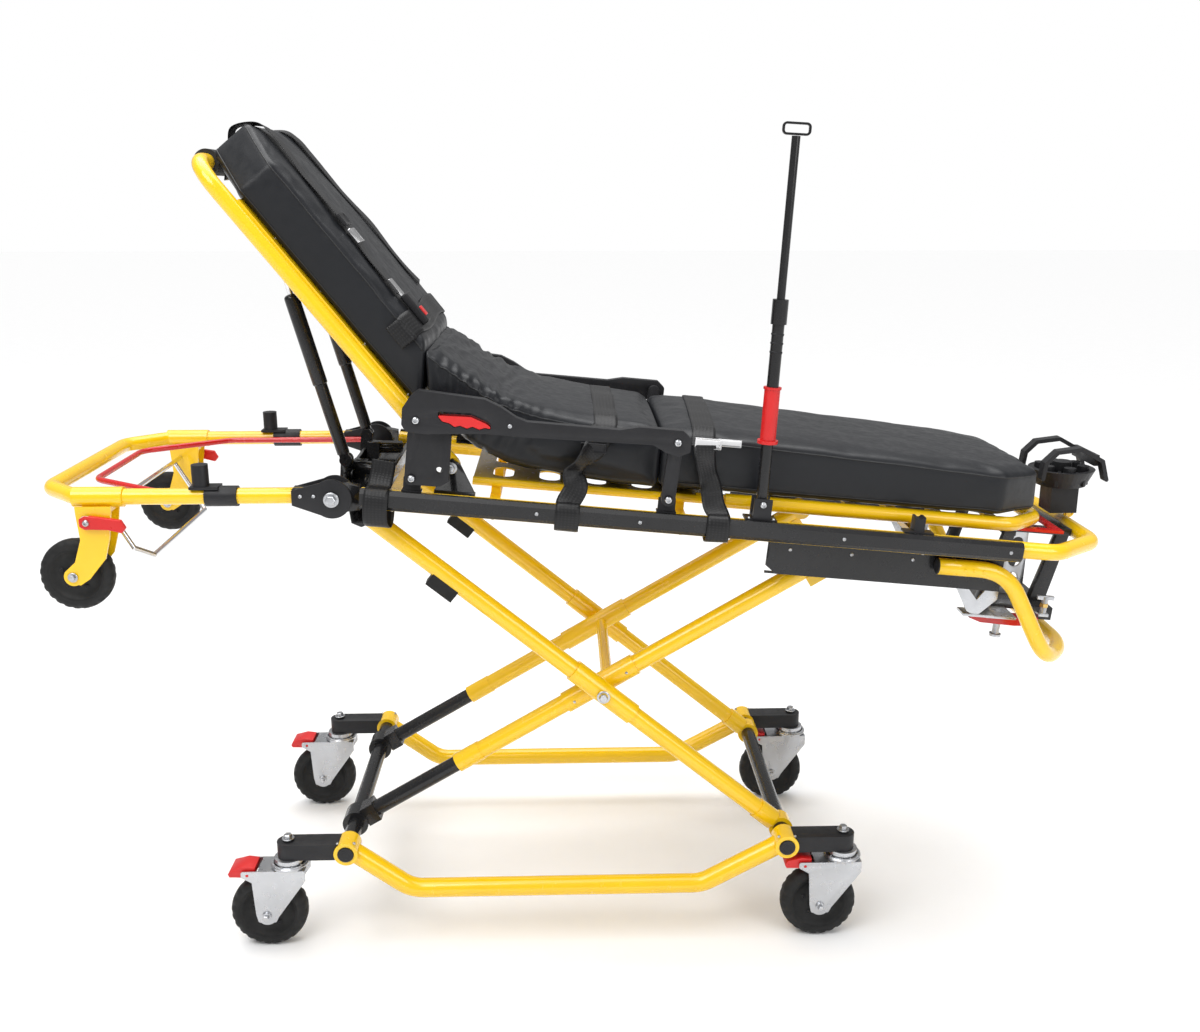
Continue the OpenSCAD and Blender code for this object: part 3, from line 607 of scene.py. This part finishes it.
seams_back = [seam("backrest_cushion_seam_" + at, pads["back"], rim(back_warp, BACK_LENGTH, BACK_HALF, c))
              for at, c in (("top", BACK_THICK - 8), ("low", 8))]
seams_leg = [seam("leg_cushion_seam_" + at, pads["leg"], rim(leg_warp, LEG_LENGTH, LEG_HALF, c))
             for at, c in (("top", LEG_THICK - 8), ("low", 8))]
seams_seat = []
for side, sgn in SIDES:
    line = [flex_warp(20 + (SEAT_LENGTH - 40) * i / 110, sgn * SEAT_HALF, SEAT_THICK - 10) for i in range(111)]
    seams_seat.append(seam("seat_cushion_seam_" + side, pads["seat"], line))

for ob in (backpad, seatpad, legpad):
    smoothed(ob)
for ob in [backpad] + seams_back:
    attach(ob, "backrest")
for ob in [seatpad] + seams_seat:
    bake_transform(ob)
for ob in [legpad] + seams_leg:
    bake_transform(ob)
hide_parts("mattress_back")
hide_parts("mattress_seat")
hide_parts("mattress_leg")


# ---- straps ----

def drop(tree, p, n, lift=0.0022):
    """The point of a cushion under p, looking along -n."""
    hit = tree.ray_cast(p + n * 0.2, -n, 0.6)[0]
    return (hit if hit is not None else p) + n * lift


def rail_hook(s, sgn):
    """Points of a strap that comes down to a rail and wraps round it."""
    return [deck(s, sgn * y, n) for y, n in ((276, 22), (292, 20), (300, 10), (301, -10),
                                             (297, -24), (280, -31), (262, -30), (249, -24))]


# The seat strap: a twisted half on the right and a plain half on the left, which meet on the pad.
S = DECK_S
over = [drop(pads["seat"], deck(444, y, 165), DECK_N) for y in range(-216, 217, 24)]
near = [deck(398, -266, 48), deck(392, -258, 74), deck(408, -262, 98), deck(428, -250, 124),
        deck(436, -236, 152)]
hook = rail_hook(386, -1)
path = list(reversed(hook)) + near + over[:10]
twist = [S] * len(hook) + [S, S + Y * 0.5, S + Y * 0.9, S + Y * 0.3, S] + [S] * 10
seat_strap = strap("seat_strap_right", path, twist, 44, "litter", ripple=3)
far = [deck(440, 238, 150), deck(430, 246, 110), deck(410, 252, 60), deck(400, 262, 34)]
path = over[9:] + far + rail_hook(392, 1)
strap("seat_strap_left", path, [S] * len(path), 44, "litter", ripple=3)
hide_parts("restraint_straps")

over = [drop(pads["leg"], deck(640 + y * 0.05, y, 150), DECK_N) for y in range(-216, 217, 24)]
over = [deck(628, -234, 138)] + over + [deck(650, 234, 138)]
leg_top = strap("leg_strap_top", over, [S] * len(over), 44)
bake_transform(leg_top)
for side, sgn in SIDES:
    hang = [deck(s, sgn * y, n) for s, y, n in ((630, 237, 142), (632, 246, 118), (640, 254, 88),
                                                (650, 250, 60), (656, 262, 36))]
    hook = rail_hook(664, sgn)
    twist = [S, S + Y * 0.3, S + Y * 0.6, S + Y * 0.2, S] + [S] * len(hook)
    strap("leg_strap_side_" + side, hang + hook, twist, 42, "litter", ripple=4)
loop = [deck(44, -252, 66), deck(42, -256, 40), deck(40, -268, 21), deck(39, -292, 20), deck(38, -303, 4),
        deck(38, -304, -22), deck(40, -298, -42), deck(44, -280, -52), deck(46, -262, -44),
        deck(46, -252, -20)]
strap("head_strap_loop", loop, [S] * len(loop), 44, "litter")

# The shoulder harness: over the head end of the pad, down its front and across the chest.
for side, sgn in SIDES:
    pts, dirs = [], []
    slack = 0.0045 if sgn < 0 else 0.001
    for u, y, w in ((640, 96, -2), (676, 98, 40), (700, 100, 70)):
        pts.append(back(u + 14, sgn * y, w))
        dirs.append(Y)
    for u in range(690, 270, -30):
        y = sgn * (104 + 0.16 * (690 - u))
        lift = 0.0026 + slack * abs(math.sin(u / 60.0))
        pts.append(drop(pads["back"], back(u, y, 110), BACK_N, lift))
        dirs.append(Y + BACK_U * 0.16 * sgn)
    shoulder = strap("shoulder_strap_" + side, pts, dirs, 46, "backrest", ripple=2)
    if sgn < 0:
        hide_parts("shoulder_harness")
across = [back(244, -232, 70), back(244, -232, 96)]
across += [drop(pads["back"], back(244 + 4 * math.sin(y / 60), y, 118), BACK_N, 0.004)
           for y in range(-220, 221, 20)]
across += [back(244, 232, 96), back(244, 232, 70)]
strap("chest_strap", across, [BACK_U] * len(across), 48, "backrest", ripple=2)


# ---- buckles ----

def block(name, centre, axes, size, mat, body, bevel=2.0, hole=None):
    """A bevelled block on its own three axes, with an optional window."""
    bm = bmesh.new()
    lx, ly, lz = (v / 2000 for v in size)
    bmesh.ops.create_cube(bm, size=2.0)
    bmesh.ops.scale(bm, vec=(lx, ly, lz), verts=bm.verts)
    if hole:
        for f in [f for f in bm.faces if abs(f.normal.z) > 0.9]:
            bmesh.ops.inset_region(bm, faces=[f], thickness=hole / 1000)
            bmesh.ops.translate(bm, vec=(0, 0, -f.normal.z * lz * 0.75), verts=f.verts)
    bmesh.ops.bevel(bm, geom=list(bm.edges), offset=bevel / 1000, segments=3, profile=0.6, affect="EDGES")
    me = bpy.data.meshes.new(name)
    bm.to_mesh(me)
    bm.free()
    m = Matrix([a.normalized() for a in axes]).transposed().to_4x4()
    m.translation = centre
    me.transform(m)
    me.materials.append(mat)
    me.polygons.foreach_set("use_smooth", [True] * len(me.polygons))
    ob = bpy.data.objects.new(name, me)
    bpy.context.scene.collection.objects.link(ob)
    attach(ob, body)


on_back = (BACK_U, Y, BACK_N)
p = drop(pads["back"], back(262, -150, 118), BACK_N, 0.011)
block("harness_buckle", p, on_back, (66, 44, 15), BLACK_PLASTIC, "backrest", 4)
p = p + BACK_N * 0.006 - BACK_U * 0.012
block("harness_buckle_button", p, on_back, (20, 24, 8), RED, "backrest", 1.5)
for name, u, y, lift, size, mat, bevel, hole in (
        ("harness_tongue", 312, -152, 0.008, (40, 34, 4), STEEL, 0.8, 8),
        ("harness_slider", 430, -143, 0.008, (30, 52, 7), STEEL, 1.4, 6),
        ("harness_guide", 466, -138, 0.009, (26, 56, 9), BLACK_PLASTIC, 2.5, 6)):
    p = drop(pads["back"], back(u, y, 118), BACK_N, lift)
    block(name, p, on_back, size, mat, "backrest", bevel, hole)
on_side = (S, DECK_N, Y)
p = deck(636, -238, 146)
block("leg_strap_slider", p, on_side, (50, 20, 6), STEEL, "litter", 1.2, hole=5)
p = p + S * 0.040 + DECK_N * 0.004
block("leg_strap_tongue", p, on_side, (44, 14, 3), STEEL, "litter", 0.8, hole=4)
p = deck(424, -252, 122)
block("seat_strap_guide", p, (S, DECK_N, Y + S * 0.3), (48, 18, 7), BLACK_PLASTIC, "litter", 2, hole=5)


# ---- wheels ----

def wheel(name, body, centre, r, half, hub):
    """Tyre with tread notches over a dished rim, for the wheel whose body and node share a name."""
    profile = [(0.0062, -half), (hub, -half), (hub + 0.002, -half + 0.003), (hub + 0.003, -half * 0.45),
               (r * 0.60, -half * 0.36), (r * 0.68, -half * 0.62), (r * 0.72, -half * 0.74),
               (r * 0.735, -half * 0.70), (r * 0.76, -half * 0.82), (r * 0.86, -half * 0.84),
               (r * 0.94, -half * 0.72), (r * 0.985, -half * 0.5), (r, -half * 0.22)]
    profile += [(a, -b) for a, b in reversed(profile)]
    segs = 120
    verts, faces = [], []
    for a, b in profile:
        for i in range(segs):
            t = 2 * math.pi * i / segs
            cut = 0.0011 if (a > r * 0.93 and a < r * 0.99 and i % 5 in (0, 1)) else 0.0
            rr = a - cut
            bb = b - math.copysign(cut, b)
            verts.append(centre + Vector((rr * math.cos(t), bb, rr * math.sin(t))))
    for k in range(len(profile)):
        for i in range(segs):
            j, m = (i + 1) % segs, (k + 1) % len(profile)
            faces.append((k * segs + i, k * segs + j, m * segs + j, m * segs + i))
    ob = make(name, verts, faces, RUBBER, body, origin=centre)
    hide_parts(body)
    for sy in (-1, 1):
        for i in range(5):
            t = 2 * math.pi * i / 5 + 0.3
            at = centre + Vector((r * 0.42 * math.cos(t), sy * half * 0.42, r * 0.42 * math.sin(t)))
            boss = [(4.0, -1.0), (4.0, 1.2), (3.2, 2.0), (2.0, 2.0), (1.8, 0.6)]
            kit.turned(body, BLACK_PLASTIC, boss, at, (0, sy, 0), 14)


UP = (0, 0, 1)
for end, k in CASTER_X:
    for side, sgn in SIDES:
        tag = end + "_" + side
        c = cot(k - CASTER_TRAIL, sgn * CASTER_Y, CASTER_RADIUS)
        wheel("caster_tyre_" + tag, "caster_wheel_" + tag, c, CASTER_RADIUS / 1000, 0.022, 0.017)
        fork = "caster_fork_" + tag
        for sy in (-1, 1):
            kit.bolt(fork, c + Vector((0, sy * 0.0340, 0)), (0, sy, 0), 9, 6)
        kit.bolt("base", cot(k, sgn * CASTER_Y, 228.5), UP, 12, 8)
        race = [(36.2, -3), (36.8, -1), (36.8, 1), (35, 3), (31, 4)]
        kit.turned(fork, ZINC, race, cot(k, sgn * CASTER_Y, 177), UP, 48)
        for i in range(10):
            t = 2 * math.pi * i / 10
            at = cot(k, sgn * CASTER_Y, 181) + Vector((0.0325 * math.cos(t), 0.0325 * math.sin(t), 0))
            kit.rivet(fork, at, UP, 3.6)
for side, sgn in SIDES:
    c = cot(LOAD_X, sgn * LOAD_Y, LOAD_Z)
    wheel("load_tyre_" + side, "load_wheel_" + side, c, LOAD_RADIUS / 1000, 0.018, 0.016)
    for sy in (-1, 1):
        kit.bolt("head_loop", c + Vector((0, sy * 0.0265, 0)), (0, sy, 0), 9, 5)


# ---- moulded and pressed parts, with their edges eased ----

def eased(node, width, mat, body):
    """A copy of a CAD node with its sharp edges rounded, which stands for it."""
    bm = bmesh.new()
    bm.from_mesh(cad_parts[node].data)
    bmesh.ops.remove_doubles(bm, verts=bm.verts, dist=1e-6)
    bmesh.ops.dissolve_limit(bm, angle_limit=math.radians(0.5), verts=bm.verts, edges=bm.edges)
    sharp = [e for e in bm.edges if len(e.link_faces) == 2 and e.calc_face_angle(0.0) > math.radians(50)]
    bmesh.ops.bevel(bm, geom=sharp, offset=width / 1000, segments=2, profile=0.6, affect="EDGES",
                    clamp_overlap=True)
    me = bpy.data.meshes.new(node + "_eased")
    bm.to_mesh(me)
    bm.free()
    me.materials.append(mat)
    me.polygons.foreach_set("use_smooth", [True] * len(me.polygons))
    me.set_sharp_from_angle(angle=math.radians(32))
    ob = bpy.data.objects.new(node + "_eased", me)
    bpy.context.scene.collection.objects.link(ob)
    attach(ob, body)
    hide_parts(node)


for side in ("right", "left"):
    for node, width, mat in (("armrest_", 3.0, BLACK_PLASTIC), ("arm_post_head_", 1.5, BLACK_PLASTIC),
                             ("arm_post_foot_", 1.5, BLACK_PLASTIC), ("caster_pedal_head_", 1.5, RED),
                             ("caster_fork_head_", 0.6, ZINC), ("caster_pedal_foot_", 1.5, RED),
                             ("caster_fork_foot_", 0.6, ZINC)):
        eased(node + side, width, mat, node + side)
eased("caster_arms", 2.0, BLACK_PLASTIC, "base")
eased("loop_fittings", 1.0, BLACK_PLASTIC, "head_loop")
eased("rail_clamps", 0.8, BLACK_PLASTIC, "litter")
eased("latch_plates", 0.5, ZINC, "litter")
eased("latch_frame", 1.0, BLACK_GLOSS, "litter")
eased("head_beam", 0.8, BLACK_GLOSS, "litter")
eased("leg_stops", 2.5, RUBBER, "outer_leg_frame")


# ---- lift handle and gas springs ----

corners = [(1092, -270, -44), (1226, -270, -44), (1334, -266, -216), (1404, -172, -216)]
corners = [deck(*c) for c in corners] + [deck(s, -y, n) for s, y, n in reversed(corners)]
handle = tube("lift_handle_tube", corners, 0.0158, 0.055, YELLOW, "litter")
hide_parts("foot_lift_handle")
for side, sgn in SIDES:
    plug = [(15.2, -1), (15.2, 1.5), (13, 2.8), (6, 3.0)]
    kit.turned("litter", BLACK_PLASTIC, plug, deck(1092, sgn * 270, -44), tuple(-DECK_S), 32)
    for s in (1120, 1180):
        block("handle_bracket_%d_%s" % (s, side), deck(s, sgn * 257, -42), (DECK_S, Y, DECK_N),
              (22, 9, 22), BLACK_GLOSS, "litter", 1.5)

# Each gas spring runs from the head beam to a bracket up the backrest, a little behind its frame.
SPRING_Y = 138
SPRING_U, SPRING_BEHIND = 492, 14
FOOT_S, FOOT_N = -44.0, 34.0
TOP_S = BACK_PIVOT_S - SPRING_U * math.cos(LEAN) - SPRING_BEHIND * math.sin(LEAN)
TOP_N = BACK_PIVOT_N + SPRING_U * math.sin(LEAN) - SPRING_BEHIND * math.cos(LEAN)
SPRING = math.hypot(TOP_S - FOOT_S, TOP_N - FOOT_N)
SLEEVE = [(0, 152), (12.4, 152), (13.9, 154), (14.2, 156), (14.2, 318), (13.6, 322), (11, 325), (7.2, 326.5),
          (0, 326.5)]
ROD = [(0, 322), (4.8, 322), (5.2, 324), (5.2, SPRING - 10), (8.5, SPRING - 9), (9.5, SPRING - 5),
       (9.5, SPRING + 4), (8, SPRING + 8), (0, SPRING + 8)]


def turned_piece(name, profile, at, axis, segs, mat, body):
    """A turned piece of its own from (radius, height) pairs in millimetres."""
    metres = [(max(r / 1000, 1e-9), h / 1000) for r, h in profile]
    return make(name, *lathe(metres, at, axis, segs), mat, body)


for side, sgn in SIDES:
    foot, top = deck(FOOT_S, sgn * SPRING_Y, FOOT_N), deck(TOP_S, sgn * SPRING_Y, TOP_N)
    way = (top - foot).normalized()
    sleeve = turned_piece("gas_spring_sleeve_" + side, SLEEVE, foot, way, 36, BLACK_GLOSS, "spring_rod")
    turned_piece("gas_spring_rod_" + side, ROD, foot, way, 28, STEEL, "spring_rod")
    if sgn < 0:
        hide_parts("gas_spring_rod")


# ---- bolts, screws and rivets ----

LEVER = [(-860, 890), (-830, 886), (-797, 881), (-789, 866), (-796, 857), (-820, 863), (-846, 864),
         (-862, 864), (-871, 870), (-871, 884)]
PLUG = [(15.0, -2), (15.0, 1.5), (13.5, 2.6), (9, 2.6), (8, 1.8)]
for side, sgn in SIDES:
    ax = (0, sgn, 0)
    armrest = "armrest_" + side
    cross = cot(BASE_FOOT_X - OUTER_LEG_CROSSING * math.cos(OUTER_LEG_ANGLE), sgn * 244,
                BASE_Z + OUTER_LEG_CROSSING * math.sin(OUTER_LEG_ANGLE))
    kit.bolt("outer_leg_frame", cross + Vector((0, sgn * 0.004, 0)), ax, 13, 8)
    for x in (BASE_HEAD_X, BASE_FOOT_X):
        kit.turned("base", BLACK_PLASTIC, PLUG, cot(x, sgn * 313.2, BASE_Z), ax, 36)
        for q in (-1, 1):
            kit.cap("base", cot(x + q * 16, sgn * 304, BASE_Z + 19), UP, 6, 3)
    kit.bolt("head_loop", cot(LOOP_PIVOT_X, sgn * 298, LOOP_PIVOT_Z), ax, 14, 8)
    for q in (-476, -452):
        kit.cap("head_loop", cot(q, sgn * 293.2, 920), ax, 7, 3)
    for s in (64, 250, 600, 1060):
        kit.rivet("litter", deck(s, sgn * 268, -23.2), tuple(-DECK_N), 7)
    for s in (30, 330, 520, 900, 1216):
        kit.cap("litter", deck(s, sgn * 296, 0), ax, 7, 2.5)
    for s in (812, 930, 1048, 1168):
        kit.cap("litter", deck(s, sgn * 253.4, -40), ax, 7, 2.5)
    for s in (1140, 1158, 1176):
        kit.rivet("litter", deck(s, sgn * 285.5, -44), ax, 6, YELLOW)
    for s in POSTS_S:
        kit.cap("litter", deck(s, sgn * 289.4, POST_N), ax, 13, 4)
        kit.cap(armrest, deck(s + 4, sgn * 308, ARM_N), ax, 13, 4)
    kit.cap(armrest, deck(270, sgn * 306.8, ARM_N + 4), ax, 8, 3)
    for u in (150, 270, 390, 510, 590):
        kit.rivet("backrest", back(u, sgn * 205, 19), tuple(BACK_N), 6)
        kit.rivet("backrest", back(u, sgn * 205, 13.6), tuple(-BACK_N), 6)
    kit.bolt("litter", deck(BACK_PIVOT_S, sgn * 253, BACK_PIVOT_N), ax, 11, 6)
    kit.cap("leg_section", deck(LEG_PIVOT_S, sgn * 211, LEG_PIVOT_N), ax, 12, 4)
    for d, y, mat in ((262, 190.6, YELLOW), (282, 190.6, YELLOW), (520, 193.6, ZINC), (640, 193.6, ZINC)):
        at = cot(BASE_HEAD_X + d * math.cos(INNER_LEG_ANGLE), sgn * y, BASE_Z + d * math.sin(INNER_LEG_ANGLE))
        kit.rivet("inner_leg_upper", at, ax, 6, mat)
    verts = [cot(x, sgn * y, z) for y in (296.8, 307.4) for x, z in LEVER]
    m = len(LEVER)
    faces = [tuple(range(m)), tuple(range(m, 2 * m))]
    faces += [(i, (i + 1) % m, m + (i + 1) % m, m + i) for i in range(m)]
    ob = make("bail_lever_" + side, verts, faces, RED, "bail", smooth=False)
    bev = ob.modifiers.new("Bevel", "BEVEL")
    bev.width, bev.segments = 0.002, 3
    kit.cap("bail", cot(BAIL_X, sgn * 307.4, BAIL_Z), ax, 12, 4)
kit.cap("litter", deck(IV_S, -281.4, IV_N), (0, -1, 0), 12, 4)
kit.cap("litter", deck(722, -276, 20.2), tuple(DECK_N), 7, 3)
kit.cap("litter", deck(768, -276, 20.2), tuple(DECK_N), 7, 3)
VALVE = [(6.6, 0), (6.6, 12), (8.5, 13), (8.5, 20), (6.6, 21), (6.6, 30)]
kit.turned("litter", BRASS, VALVE, deck(1352, -176, -150), tuple(DECK_N), 6)
RING = [(11.2, -2), (11.8, -1), (11.8, 1), (11.2, 2)]
for n in (280, 296, 312):
    at = deck(IV_S + n * math.sin(IV_LEAN), IV_Y, IV_N + n * math.cos(IV_LEAN))
    kit.turned("iv_lower", BLACK_PLASTIC, RING, at, tuple(DECK_N), 32)
kit.finish()


# ---- room, light and camera ----

floor_mesh = bpy.data.meshes.new("floor")
floor_mesh.from_pydata([(-30, -30, 0), (30, -30, 0), (30, 30, 0), (-30, 30, 0)], [], [(0, 1, 2, 3)])
floor = bpy.data.objects.new("floor", floor_mesh)
bpy.context.scene.collection.objects.link(floor)
floor_mesh.materials.append(material("pale_floor", (0.93, 0.93, 0.93), 0.6, grain=40, bump=0.02, vary=0.01))

world = bpy.data.worlds.new("studio")
bpy.context.scene.world = world
world.use_nodes = True
wt = world.node_tree
sky = wt.nodes["Background"]
sky.inputs["Color"].default_value = (1.0, 1.0, 1.0, 1.0)
seen = wt.nodes.new("ShaderNodeLightPath").outputs["Is Camera Ray"]
level = wt.nodes.new("ShaderNodeMapRange")
level.inputs["To Min"].default_value = 0.40  # as light on the cot
level.inputs["To Max"].default_value = 1.0  # as background
wt.links.new(seen, level.inputs["Value"])
wt.links.new(level.outputs["Result"], sky.inputs["Strength"])


def lamp(name, at, aim, size, power):
    """A soft box at one point, turned to another."""
    data = bpy.data.lights.new(name, "AREA")
    data.shape = "RECTANGLE"
    data.size, data.size_y = size
    data.energy = power
    ob = bpy.data.objects.new(name, data)
    ob.location = at
    ob.rotation_euler = (Vector(aim) - Vector(at)).to_track_quat("-Z", "Y").to_euler()
    bpy.context.scene.collection.objects.link(ob)


lamp("key", (-1.4, -2.2, 3.2), (0, 0, 0.7), (2.2, 1.4), 55)
lamp("fill", (2.4, -2.6, 2.2), (0.2, 0, 0.6), (1.6, 1.6), 30)
lamp("top", (0, 0.4, 3.6), (0, 0, 0.8), (3.4, 1.6), 40)
sun = bpy.data.lights.new("overhead", "SUN")
sun.energy = 2.3
sun.angle = math.radians(75)
sun_ob = bpy.data.objects.new("overhead", sun)
sun_ob.rotation_euler = (math.radians(-8), math.radians(-6), 0)
bpy.context.scene.collection.objects.link(sun_ob)

cam = bpy.data.cameras.new("camera")
cam.lens, cam.sensor_width, cam.sensor_fit = 36.0, 36.0, "HORIZONTAL"
cam_ob = bpy.data.objects.new("camera", cam)
yaw, pitch = 0.0313, -0.262
ahead = Vector((math.sin(yaw) * math.cos(pitch), math.cos(yaw) * math.cos(pitch), math.sin(pitch)))
right = Vector((math.cos(yaw), -math.sin(yaw), 0))
above = right.cross(ahead)
m = Matrix((right, above, -ahead)).transposed().to_4x4()
m.translation = (SHIFT, -2.4129, 1.4477)
cam_ob.matrix_world = m
bpy.context.scene.collection.objects.link(cam_ob)
bpy.context.scene.camera = cam_ob
bpy.context.scene.view_settings.view_transform = "Standard"
